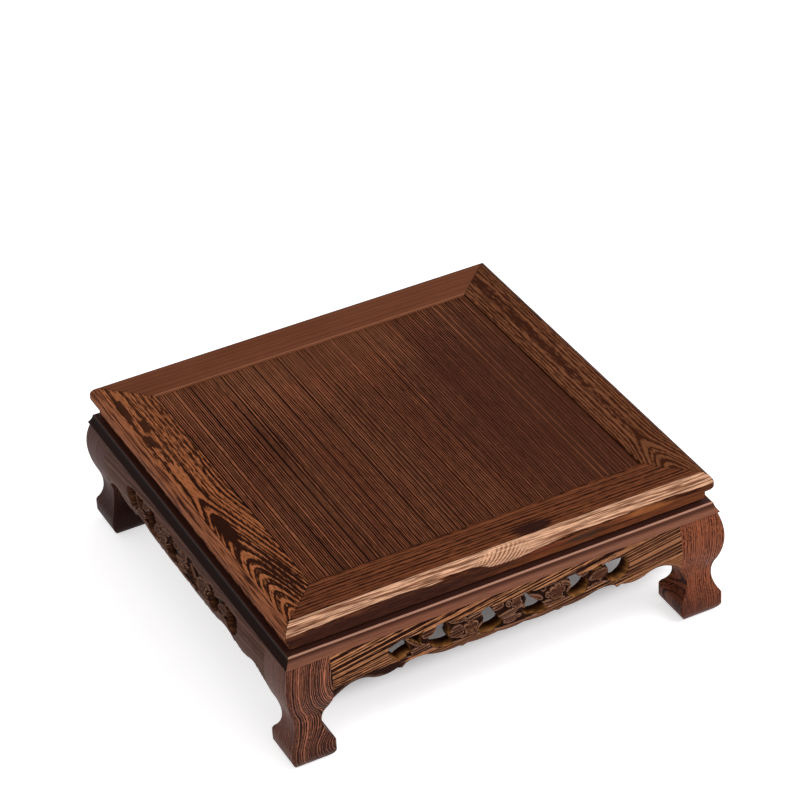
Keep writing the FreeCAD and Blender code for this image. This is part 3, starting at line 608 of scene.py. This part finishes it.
# The openings, anticlockwise from the floor. Each corner is x, z and the swell of the edge that leads
# to it, to the left of its way, which is into the opening.
OPENINGS = (
    ((-78.4, 56.2, 0.2), (-73.6, 58.6, 0.3), (-69.4, 59.8, 0.0), (-71.2, 66.4, -0.4), (-73.0, 71.2, 0.4),
     (-79.2, 70.0, 0.0), (-84.8, 68.2, 0.0), (-84.9, 64.0, -0.4), (-82.6, 60.4, 0.2)),
    ((-63.2, 62.8, 0.0), (-61.4, 68.0, -0.3), (-60.4, 71.4, 0.2), (-66.4, 70.5, 0.3), (-71.0, 70.2, 0.0),
     (-66.6, 66.0, -0.5)),
    ((-53.8, 56.4, -0.5), (-47.0, 54.6, -0.3), (-40.8, 54.9, -0.6), (-43.2, 61.4, 0.5), (-41.9, 66.4, -0.3),
     (-43.0, 71.8, 0.4), (-50.8, 71.8, 0.0), (-51.2, 68.6, 0.2), (-56.5, 64.8, 0.5), (-57.0, 60.6, -0.4)),
    ((-21.8, 54.8, -0.3), (-14.0, 53.4, -0.3), (-7.4, 54.8, -0.4), (-5.2, 58.4, -0.4), (-11.2, 66.2, 0.6),
     (-13.4, 71.4, 0.3), (-17.0, 71.4, 0.0), (-19.8, 67.2, -0.3), (-18.6, 64.0, 0.3), (-20.8, 61.0, 0.3),
     (-23.8, 57.8, -0.4)),
    ((9.8, 56.0, -0.5), (13.8, 54.0, -0.3), (20.2, 53.2, -0.3), (25.6, 55.8, -0.7), (21.8, 60.6, 0.3),
     (17.2, 65.0, 0.4), (13.2, 69.0, 0.2), (17.8, 71.6, 0.2), (9.4, 71.6, 0.0), (11.7, 66.6, 0.4),
     (8.6, 60.6, 0.5)),
    ((42.4, 56.8, -0.5), (47.0, 55.0, -0.3), (52.4, 57.2, -0.3), (55.8, 61.8, -0.5), (54.0, 66.4, -0.5),
     (48.6, 69.6, 0.5), (47.8, 71.8, 0.0), (41.0, 71.8, 0.0), (43.5, 66.6, 0.4), (40.4, 61.2, 0.5)),
    ((59.4, 68.6, 0.0), (66.4, 69.4, 0.4), (65.4, 72.0, 0.0), (59.6, 70.8, 0.0)),
    ((70.8, 57.8, -0.4), (76.8, 55.6, -0.4), (81.8, 58.6, -0.3), (84.4, 63.4, -0.3), (82.8, 71.6, -0.5),
     (67.0, 71.8, 0.0), (69.7, 67.2, 0.4), (68.6, 62.4, 0.4)),
)

# Carved elements on the masses between the openings. A fluted lobe and a leaf have the x and z of
# their start and end and half their width, and a lobe also its number of flutes. A blossom has its
# centre, its size and its turn in radians, and a boss or a pit its centre and its radius.
FLUTED = (
    (-61.4, 68.2, -51.4, 69.3, 3.1, 3), (-69.6, 58.0, -56.2, 60.4, 3.6, 4),
    (-33.6, 62.8, -43.6, 61.4, 5.2, 5), (-9.4, 60.2, 8.6, 64.0, 2.2, 3),
    (22.4, 59.4, 38.6, 58.0, 2.2, 2), (-20.0, 69.4, -32.0, 67.6, 1.8, 2),
    (-5.4, 56.6, 7.4, 57.6, 3.0, 4),
)
LEAVES = (
    (-61.6, 61.0, -73.2, 70.8, 2.4), (-30.0, 69.0, -42.4, 70.2, 1.9), (-25.0, 56.8, -19.2, 62.8, 1.9),
    (-4.2, 69.6, -13.2, 68.0, 2.7), (22.8, 63.2, 13.2, 69.2, 2.3), (36.0, 69.6, 43.2, 66.8, 2.2),
    (69.4, 67.2, 55.6, 64.2, 4.6), (56.6, 58.4, 68.6, 58.4, 2.2), (-36.0, 56.8, -24.0, 56.0, 1.9),
    (49.4, 69.4, 56.8, 70.6, 1.7), (39.4, 61.4, 44.6, 66.0, 1.6),
)
BLOSSOMS = ((-28.2, 62.4, 5.6, 0.3), (4.4, 67.6, 4.2, 0.9), (33.0, 64.8, 6.0, 0.1))
BOSSES = ((-1.0, 68.2, 2.1), (26.6, 64.4, 2.2), (63.6, 62.0, 1.1), (9.0, 63.0, 1.4))
PITS = ((24.2, 69.2, 1.7), (46.2, 54.4, 0.8))

# Upper edge of the plain band along the foot of the carving
BAND_LINE = ((-74.0, 57.0), (-56.0, 57.0), (-50.0, 55.0), (-40.0, 55.4), (-24.0, 55.4), (-14.0, 53.6),
             (-6.0, 52.6), (8.0, 52.4), (20.0, 53.2), (27.0, 56.6), (41.0, 57.2), (56.0, 59.0),
             (70.0, 58.6))

# Limits of the carving, how far its ground and its pits lie behind the plain face, how wide and deep
# its cut edges are rounded off, and the ribs and the middle vein of its leaves
CARVED_LEFT, CARVED_RIGHT, CARVED_TOP = -74.0, 70.0, 71.1
GROUND = 1.6
PIT_DEEP = 2.2
EDGE_WIDE, EDGE_DEEP = 0.8, 0.5
RIB_DEEP, RIB_PITCH = 0.22, 1.8
VEIN_DEEP = 0.45
PETALS = 5

# Where the carving is sunk the wood is darkened, partly stain and partly painted shade, and where it
# stands out from what is round it, it is lightened, partly wear and partly painted highlight
SUNK_BY_DEPTH, SUNK_BY_HEIGHT = 0.6, 2.5
RIDGE_FROM, RIDGE_RATE, RIDGE_MOST = 0.13, 3.2, 0.7

# Step between places, and the left, right, low and high limits of each part of the face
FINE_LEFT, FINE_RIGHT, FINE_LOW, FINE_HIGH = -88.0, 87.0, 51.2, 72.4
FACE_ZONES = (
    (1.6, -SPAN_HALF, FINE_LEFT, SEAM_LOW, APRON_TOP), (1.6, FINE_RIGHT, SPAN_HALF, SEAM_LOW, APRON_TOP),
    (0.38, FINE_LEFT, FINE_RIGHT, FINE_LOW, FINE_HIGH), (1.2, FINE_LEFT, FINE_RIGHT, FINE_HIGH, APRON_TOP),
    (0.9, FINE_LEFT, FINE_RIGHT, SEAM_LOW, FINE_LOW),
)
# Rise of a row of places and the least distance of a place from a cut edge, as shares of the step
ROW_RISE = 0.87
EDGE_CLEAR = 0.35
SMOOTHINGS = 3


# Heights of the carved elements above the ground

def along_and_aside(x, z, start_x, start_z, end_x, end_z):
    """Share of the way from start to end, distance to the left of it, and its length."""
    run_x, run_z = end_x - start_x, end_z - start_z
    run = math.hypot(run_x, run_z)
    along = ((x - start_x) * run_x + (z - start_z) * run_z) / run
    aside = ((x - start_x) * -run_z + (z - start_z) * run_x) / run
    return along / run, aside, run


def fluted_height(x, z, element):
    """Parallel flutes along a rounded lobe."""
    start_x, start_z, end_x, end_z, reach, flutes = element
    share, aside, _ = along_and_aside(x, z, start_x, start_z, end_x, end_z)
    if not 0.0 < share < 1.0:
        return 0.0
    width = reach * math.sin(HALF_TURN * min(share + 0.12, 1.0 - 0.4 * (1.0 - share))) ** 0.45
    if abs(aside) >= width:
        return 0.0
    groove = 0.5 - 0.5 * math.cos(FULL_TURN * (aside + reach) / (2 * reach) * flutes)
    return GROUND * (1 - smooth(abs(aside) / width, 0.78, 1.0)) * (0.55 + 0.42 * groove)


def leaf_height(x, z, leaf):
    """A pointed leaf with a sunk middle vein and slanting ribs."""
    start_x, start_z, end_x, end_z, reach = leaf
    share, aside, run = along_and_aside(x, z, start_x, start_z, end_x, end_z)
    if not 0.0 < share < 1.0:
        return 0.0
    width = reach * math.sin(HALF_TURN * share ** 0.8) ** 0.8
    if abs(aside) >= width:
        return 0.0
    rib = RIB_DEEP * (0.5 + 0.5 * math.cos(FULL_TURN * (share * run - abs(aside)) / RIB_PITCH))
    vein = VEIN_DEEP * (1 - smooth(abs(aside), 0.1, 0.55))
    return GROUND * (1 - smooth(abs(aside) / width, 0.6, 1.0) * 0.75) * 0.97 - rib - vein


def blossom_height(x, z, blossom):
    """A five-petalled blossom with cupped petals and a dotted heart."""
    centre_x, centre_z, size, turn = blossom
    radius = math.hypot(x - centre_x, z - centre_z)
    if radius >= size:
        return 0.0
    angle = math.atan2(z - centre_z, x - centre_x) - turn
    best = 0.0
    for petal in range(PETALS):
        way = FULL_TURN * petal / PETALS
        offset = math.hypot(radius * math.cos(angle - way) - 0.58 * size, radius * math.sin(angle - way))
        share = offset / (0.42 * size)
        if share < 1.0:
            cup = 0.7 + 0.28 * smooth(share, 0.2, 0.7) - 0.6 * smooth(share, 0.78, 1.0)
            best = max(best, GROUND * cup)
    heart = 0.24 * size
    if radius < heart:
        best = max(best, GROUND * (0.7 + 0.28 * math.sqrt(1 - (radius / heart) ** 2)))
    return best


def boss_height(x, z, boss):
    """A round boss with a ring cut into it."""
    share = math.hypot(x - boss[0], z - boss[1]) / boss[2]
    if share >= 1.0:
        return 0.0
    return GROUND * (0.98 - 0.5 * math.exp(-((share - 0.55) / 0.16) ** 2) - 0.6 * smooth(share, 0.85, 1.0))


def band_line(x):
    """Height of the plain band's upper edge."""
    for start, end in zip(BAND_LINE, BAND_LINE[1:]):
        if start[0] <= x <= end[0]:
            return start[1] + (end[1] - start[1]) * (x - start[0]) / (end[0] - start[0])
    return BAND_LINE[0][1]


def carved_height(x, z):
    """How far the highest element stands out of the ground."""
    elements = [fluted_height(x, z, element) for element in FLUTED]
    elements += [leaf_height(x, z, leaf) for leaf in LEAVES]
    elements += [blossom_height(x, z, blossom) for blossom in BLOSSOMS]
    elements += [boss_height(x, z, boss) for boss in BOSSES]
    return max(elements)


def carved_depth(x, z, rim):
    """How far the carved surface lies behind the plain face. Rim is how far off a cut edge is."""
    zone = smooth(x, CARVED_LEFT, CARVED_LEFT + 2) * (1 - smooth(x, CARVED_RIGHT - 2, CARVED_RIGHT))
    zone *= 1 - smooth(z, CARVED_TOP - 0.6, CARVED_TOP)
    zone *= smooth(z, band_line(x) - 0.3, band_line(x) + 0.5)
    depth = 0.0
    if zone > 0.0:
        depth = zone * max(0.05, GROUND - carved_height(x, z))
        for pit_x, pit_z, reach in PITS:
            depth += PIT_DEEP * (1 - smooth(math.hypot(x - pit_x, z - pit_z) / reach, 0.4, 1.0))
    return depth + EDGE_DEEP * (1 - min(1.0, rim / EDGE_WIDE)) ** 2


# Mesh of a carved apron

def inside(place, loop):
    """Whether a ray from the place crosses the loop an odd number of times."""
    x, z = place
    odd = False
    for (x0, z0), (x1, z1) in zip(loop, loop[1:] + loop[:1]):
        if (z0 > z) != (z1 > z) and x < (x1 - x0) * (z - z0) / (z1 - z0) + x0:
            odd = not odd
    return odd


class Loop:
    """A closed outline with its box, so that most places are told apart quickly."""

    def __init__(self, places):
        self.places = places
        self.left, self.right = min(p[0] for p in places), max(p[0] for p in places)
        self.low, self.high = min(p[1] for p in places), max(p[1] for p in places)

    def holds(self, place):
        in_box = self.left < place[0] < self.right and self.low < place[1] < self.high
        return in_box and inside(place, self.places)


def near_tree(places):
    tree = kdtree.KDTree(len(places))
    for index, place in enumerate(places):
        tree.insert((place[0], place[1], 0.0), index)
    tree.balance()
    return tree


def fill(outline, holes, grid):
    """Triangles over an outline with holes, on the loops' own places and the given grid."""
    places, loops = [], []
    for loop in [outline] + holes:
        loops.append(range(len(places), len(places) + len(loop.places)))
        places += loop.places
    on_loops = len(places)
    edges = [(loop[k - 1], loop[k]) for loop in loops for k in range(len(loop))]
    flat = [Vector(place) for place in places + grid]
    points, _, triangles, *_ = geometry.delaunay_2d_cdt(flat, edges, [list(loops[0])], 1, 1e-5)
    kept = []
    for triangle in triangles:
        if max(triangle) < on_loops:
            centre = sum((points[k] for k in triangle), Vector((0.0, 0.0))) / 3
            if any(hole.holds(centre) for hole in holes):
                continue
        kept.append(tuple(triangle))
    return points, kept, loops


def face_grid(outline, holes, rims):
    """Places over the face, close together where it is carved."""
    border = near_tree(outline.places)
    grid = []
    for step, left, right, low, high in FACE_ZONES:
        rise = step * ROW_RISE
        for row in range(1, round((high - low) / rise)):
            for column in range(round((right - left) / step)):
                place = (left + (column + 0.5 * (row % 2)) * step + 0.01, low + row * rise)
                flat = (place[0], place[1], 0.0)
                if min(rims.find(flat)[2], border.find(flat)[2]) < EDGE_CLEAR * step:
                    continue
                if outline.holds(place) and not any(hole.holds(place) for hole in holes):
                    grid.append(place)
    return grid


def relief(depths, triangles):
    """How far each place stands out from the smoothed mean of the places round it."""
    near = [set() for _ in depths]
    for a, b, c in triangles:
        near[a] |= {b, c}
        near[b] |= {a, c}
        near[c] |= {a, b}
    mean = list(depths)
    for _ in range(SMOOTHINGS):
        mean = [(mean[k] + sum(mean[j] for j in near[k])) / (1 + len(near[k])) for k in range(len(depths))]
    return [mean[k] - depths[k] for k in range(len(depths))]


def facing(places, face, way):
    """The face turned so that its normal's Y has the given sign."""
    a, b, c = (Vector(places[k]) for k in face[:3])
    return face if (b - a).cross(c - a).y * way > 0 else tuple(reversed(face))


def make_apron():
    """The front apron's places in metres, its faces, how far each place is sunk, a ridge or worked
    by the carver, as shares, and the number of the first wall of an opening."""
    low = scalloped_edge()
    right_end = arc((SPAN_HALF, SEAM_LOW), (SPAN_HALF, APRON_TOP), 0.0, SIDE_STEP)
    top = arc((SPAN_HALF, APRON_TOP), (-SPAN_HALF, APRON_TOP), 0.0, SIDE_STEP)
    left_end = arc((-SPAN_HALF, APRON_TOP), (-SPAN_HALF, SEAM_LOW), 0.0, SIDE_STEP)
    outline = Loop(low + right_end + top + left_end[:-1])
    holes = [Loop(opening_loop(corners)) for corners in OPENINGS]
    rims = near_tree(low + [place for hole in holes for place in hole.places])
    grid = face_grid(outline, holes, rims)
    points, front, loops = fill(outline, holes, grid)
    back_points, back, back_loops = fill(outline, holes, [])
    depths = [carved_depth(x, z, rims.find((x, z, 0.0))[2]) for x, z in points]
    places = [(x * MM, -(HALF_SIDE + face_out(z) - depth) * MM, z * MM)
              for (x, z), depth in zip(points, depths)]
    shift = len(places)
    places += [(x * MM, -(HALF_SIDE - APRON_BACK) * MM, z * MM) for x, z in back_points]
    heights = relief(depths, front)
    shares = {
        "sunk": [min(1.0, max(0.0, SUNK_BY_DEPTH * depth - SUNK_BY_HEIGHT * height))
                 for depth, height in zip(depths, heights)],
        "ridge": [min(RIDGE_MOST, max(0.0, RIDGE_RATE * (height - RIDGE_FROM))) for height in heights],
        "worked": [smooth(depth, 0.02, 0.06) * smooth(rims.find((x, z, 0.0))[2], 0.0, 0.6)
                   for (x, z), depth in zip(points, depths)],
    }
    for values in shares.values():
        values += [0.0] * len(back_points)
    faces = [facing(places, face, -1.0) for face in front]
    faces += [facing(places, tuple(k + shift for k in face), 1.0) for face in back]
    for loop, back_loop in zip(loops, back_loops):
        for k in range(len(loop)):
            faces.append((loop[k - 1], back_loop[k - 1] + shift, back_loop[k] + shift, loop[k]))
    first_wall = len(front) + len(back) + len(loops[0])
    return places, faces, shares, first_wall


# Wood of the aprons: a striped face and the plainer sawn walls of the openings, darkened toward their back
# with painted shade

WALLS = {"light": (152, 104, 58), "dark": (104, 68, 36)}
APRON_WOOD = {
    "front": {
        "pith": (0.0, -172.0, -40.0), "tilt": (0.0, -8.0), "bias": 0.56, "light": (174, 119, 82),
        "dark": (34, 13, 7),
        "blots": (((-100.0, -152.0, 48.0), (40.0, 12.0, 12.0), 0.5),),
        "shades": (((108.0, -152.0, 49.0), (34.0, 12.0, 14.0), (132, 84, 50), 0.8),
                   ((104.0, -152.0, 68.0), (36.0, 14.0, 18.0), (86, 50, 34), 0.45),
                   ((-4.0, -152.0, 48.0), (92.0, 14.0, 13.0), (96, 60, 41), 0.85))},
    "right": {
        "pith": (172.0, 10.0, -30.0), "tilt": (5.0, 0.0), "light": (160, 108, 74), "dark": (44, 19, 11)},
    "back": {
        "pith": (20.0, 174.0, -50.0), "tilt": (0.0, 5.0), "light": (160, 108, 74), "dark": (44, 19, 11)},
    "left": {
        "pith": (-172.0, 30.0, -30.0), "tilt": (-5.0, 0.0), "light": (96, 65, 54), "dark": (72, 46, 38)},
}
LEFT_WALLS = {"light": (110, 70, 48), "dark": (70, 42, 30)}
SHARP_ANGLE = 50.0


def apron_materials(side):
    look = APRON_WOOD[side]
    walls = LEFT_WALLS if side == "left" else WALLS
    face = wood("apron_%s_wood" % side, GRAINS[side], ring=2.5, warp=2.4, warp_scale=15.0, feather=0.25,
                dash=0.4, sharp=0.1, broad=0.42, fibre=0.4, bevel=0.0, carved=True, **look)
    sawn = wood("apron_%s_sawn_wood" % side, GRAINS[side], look["pith"], look["tilt"], ring=2.9,
                warp=3.0, warp_scale=15.0, dash=0.6, sharp=0.35, rough=0.55, bevel=0.0,
                deep_shade=(112, 96, 88), **walls)
    return face, sawn


def add_apron(side, turn, places, faces, shares, first_wall):
    """Turns the front apron's shape to its side and puts it in the place of the CAD node."""
    mesh = bpy.data.meshes.new("carved_apron_" + side)
    mesh.from_pydata([turn @ Vector(place) for place in places], [], faces)
    for material in apron_materials(side):
        mesh.materials.append(material)
    for polygon in mesh.polygons:
        polygon.use_smooth = True
        if polygon.index >= first_wall:
            polygon.material_index = 1
    for name, values in shares.items():
        mesh.attributes.new(name, "FLOAT", "POINT").data.foreach_set("value", values)
    mesh.update()
    mesh.set_sharp_from_angle(angle=math.radians(SHARP_ANGLE))
    piece = bpy.data.objects.new("carved_apron_" + side, mesh)
    bpy.context.scene.collection.objects.link(piece)
    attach(piece, "root")
    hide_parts("apron_" + side)


front_apron = make_apron()
for number, side in enumerate(SIDES):
    add_apron(side, Matrix.Rotation(QUARTER_TURN * number, 4, "Z"), *front_apron)


# Floor, light and camera, in metres

AMBIENT = 0.70
FLOOR_REACH = 6.0
FLOOR_COLOUR = (0.80, 0.78, 0.79, 1.0)
WHITE = (1.0, 1.0, 1.0, 1.0)
# The floor glows white where it is open and hardly under the table, so that the fading glow paints a
# soft shadow under the table. The limits lie out from the middle, and along X they are stretched and
# moved a little to the right.
GLOW_LIMITS = (0.082, 0.112)
GLOW_UNDER, GLOW_OPEN = 0.02, 0.60
GLOW_SQUEEZE, GLOW_SHIFT = 0.8, -0.016


def add_floor():
    far = FLOOR_REACH
    mesh = bpy.data.meshes.new("floor")
    mesh.from_pydata([(-far, -far, 0.0), (far, -far, 0.0), (far, far, 0.0), (-far, far, 0.0)], [],
                     [(0, 1, 2, 3)])
    floor = bpy.data.objects.new("floor", mesh)
    bpy.context.scene.collection.objects.link(floor)
    material, make = empty_material("floor_white")
    x, y, _ = make.split(make.node("ShaderNodeTexCoord").outputs["Object"])
    aside = make.math("ABSOLUTE", make.math("MULTIPLY_ADD", x, GLOW_SQUEEZE, GLOW_SHIFT))
    out = make.math("MAXIMUM", aside, make.math("ABSOLUTE", y))
    # The glow fades under the table, which paints a soft shadow there.
    strength = make.math("MULTIPLY", make.seen(), make.ramp(out, *GLOW_LIMITS, GLOW_UNDER, GLOW_OPEN))
    matt = make.node("ShaderNodeBsdfDiffuse", {"Color": FLOOR_COLOUR})
    glow = make.node("ShaderNodeEmission", {"Color": WHITE, "Strength": strength})
    both = make.node("ShaderNodeAddShader")
    make.put(both.inputs[0], matt.outputs[0])
    make.put(both.inputs[1], glow.outputs[0])
    make.node("ShaderNodeOutputMaterial", {"Surface": both.outputs[0]})
    mesh.materials.append(material)


def add_world():
    """A white sky that lights the object a little less than it shows."""
    world = bpy.data.worlds.new("studio")
    world.use_nodes = True
    world.node_tree.nodes.clear()
    make = Tree(world.node_tree)
    strength = make.math("MULTIPLY_ADD", make.seen(), 1.0 - AMBIENT, AMBIENT)
    sky = make.node("ShaderNodeBackground", {"Color": WHITE, "Strength": strength})
    make.node("ShaderNodeOutputWorld", {"Surface": sky.outputs[0]})
    bpy.context.scene.world = world


def add_light(name, place, power, size):
    """A square lamp turned to the middle of the table."""
    data = bpy.data.lights.new(name, "AREA")
    data.energy = power
    data.size = size
    lamp = bpy.data.objects.new(name, data)
    lamp.location = place
    aim = Vector((0.0, 0.0, 0.06))
    lamp.rotation_euler = (aim - Vector(place)).to_track_quat("-Z", "Y").to_euler()
    bpy.context.scene.collection.objects.link(lamp)


def add_camera():
    """The photograph's viewpoint, fitted to the table's corners, with lengths in table sides."""
    focal_pixels = 3120.04
    frame_pixels = 800.0
    yaw, pitch, roll = -0.444299, 0.603824, -0.063940
    table_side = 2 * HALF_SIDE * MM
    distance, shift_right, shift_up = (table_side * sides for sides in (6.916974, -0.0022, 0.357121))
    back = Vector((math.sin(yaw) * math.cos(pitch), -math.cos(yaw) * math.cos(pitch), math.sin(pitch)))
    right = (-back).cross(Vector((0.0, 0.0, 1.0))).normalized()
    up = right.cross(-back)
    side = math.cos(roll) * right + math.sin(roll) * up
    head = -math.sin(roll) * right + math.cos(roll) * up
    place = back * distance + side * shift_right + head * shift_up
    data = bpy.data.cameras.new("camera")
    data.sensor_fit = "HORIZONTAL"
    data.sensor_width = 36.0
    data.lens = focal_pixels * data.sensor_width / frame_pixels
    data.clip_end = 50.0
    camera = bpy.data.objects.new("camera", data)
    camera.matrix_world = Matrix((
        (side.x, head.x, back.x, place.x), (side.y, head.y, back.y, place.y),
        (side.z, head.z, back.z, place.z), (0.0, 0.0, 0.0, 1.0)))
    bpy.context.scene.collection.objects.link(camera)
    bpy.context.scene.camera = camera


add_floor()
add_world()
add_light("key", (0.9, -0.9, 1.5), power=16.0, size=0.9)
add_light("front", (0.2, -1.8, 0.7), power=6.0, size=0.9)
add_camera()
bpy.context.scene.view_settings.view_transform = "Standard"
